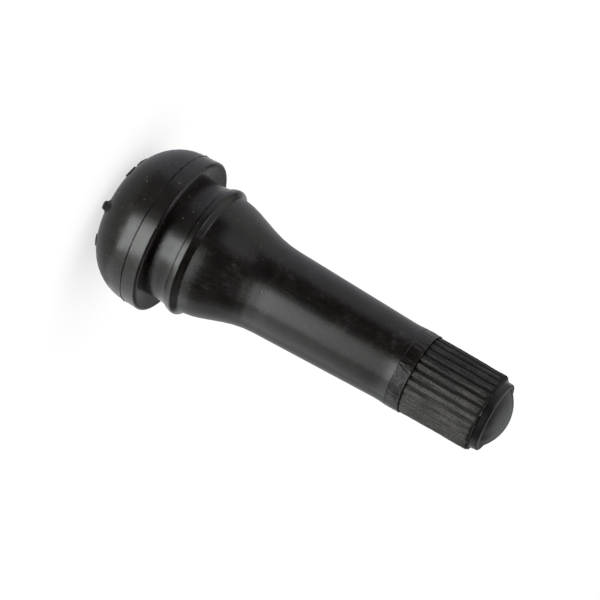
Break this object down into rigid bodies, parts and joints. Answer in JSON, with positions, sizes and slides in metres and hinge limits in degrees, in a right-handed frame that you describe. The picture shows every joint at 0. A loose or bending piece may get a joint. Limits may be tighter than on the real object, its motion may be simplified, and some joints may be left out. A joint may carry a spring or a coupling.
{
  "type": "tyre valve",
  "caption": "Snap-in rubber tyre valve with a domed head, rim groove and long tapered stem, a sprung valve core inside and a ridged dust cap screwed on the tip.",
  "frame": {"origin": "centre of the flat on the rubber head's base, on the valve's axis", "axes": "+Z along the valve's axis from the head to the dust cap, -Y towards the side with the moulding pip"},
  "size_m": [0.0196, 0.0196, 0.052],
  "materials": {
    "rubber": "satin moulded rubber",
    "brass": "turned",
    "gasket": "smooth",
    "spring_steel": "drawn wire",
    "seal_rubber": "matte",
    "cap_plastic": "satin moulded plastic"
  },
  "bodies": {
    "valve_body": {"rubber_body": "rubber", "brass_stem": "brass"},
    "core": {"core_barrel": "brass", "barrel_gasket": "gasket", "core_spring": "spring_steel"},
    "plug": {"core_plug": "brass"},
    "pin": {"core_pin": "brass", "pin_cup": "brass", "cup_seal": "seal_rubber"},
    "cap_washer": {"cap_seal": "seal_rubber"},
    "cap": {"cap_shell": "cap_plastic"}
  },
  "joints": [
    {"name": "cap_lift", "type": "slide", "parent": "valve_body", "child": "cap_washer", "axis": [0, 0, 1], "range_m": [0, 0.00953]},
    {"name": "cap_turn", "type": "hinge", "parent": "cap_washer", "child": "cap", "pos_m": [0, 0, 0.0485], "axis": [0, 0, 1], "range_deg": [0, 4321]},
    {"name": "core_lift", "type": "slide", "parent": "valve_body", "child": "core", "axis": [0, 0, 1], "range_m": [0, 0.00141]},
    {"name": "core_turn", "type": "hinge", "parent": "core", "child": "plug", "pos_m": [0, 0, 0.043], "axis": [0, 0, 1], "range_deg": [0, 720]},
    {"name": "pin_press", "type": "slide", "parent": "core", "child": "pin", "axis": [0, 0, -1], "range_m": [0, 0.0016], "stiffness_N_per_m": 200, "deforming": ["core_spring"]}
  ],
  "couplings": [
    {"joint": "cap_turn", "follows": "cap_lift", "rad_per_m": 7915.8},
    {"joint": "core_turn", "follows": "core_lift", "rad_per_m": 8905.3}
  ]
}
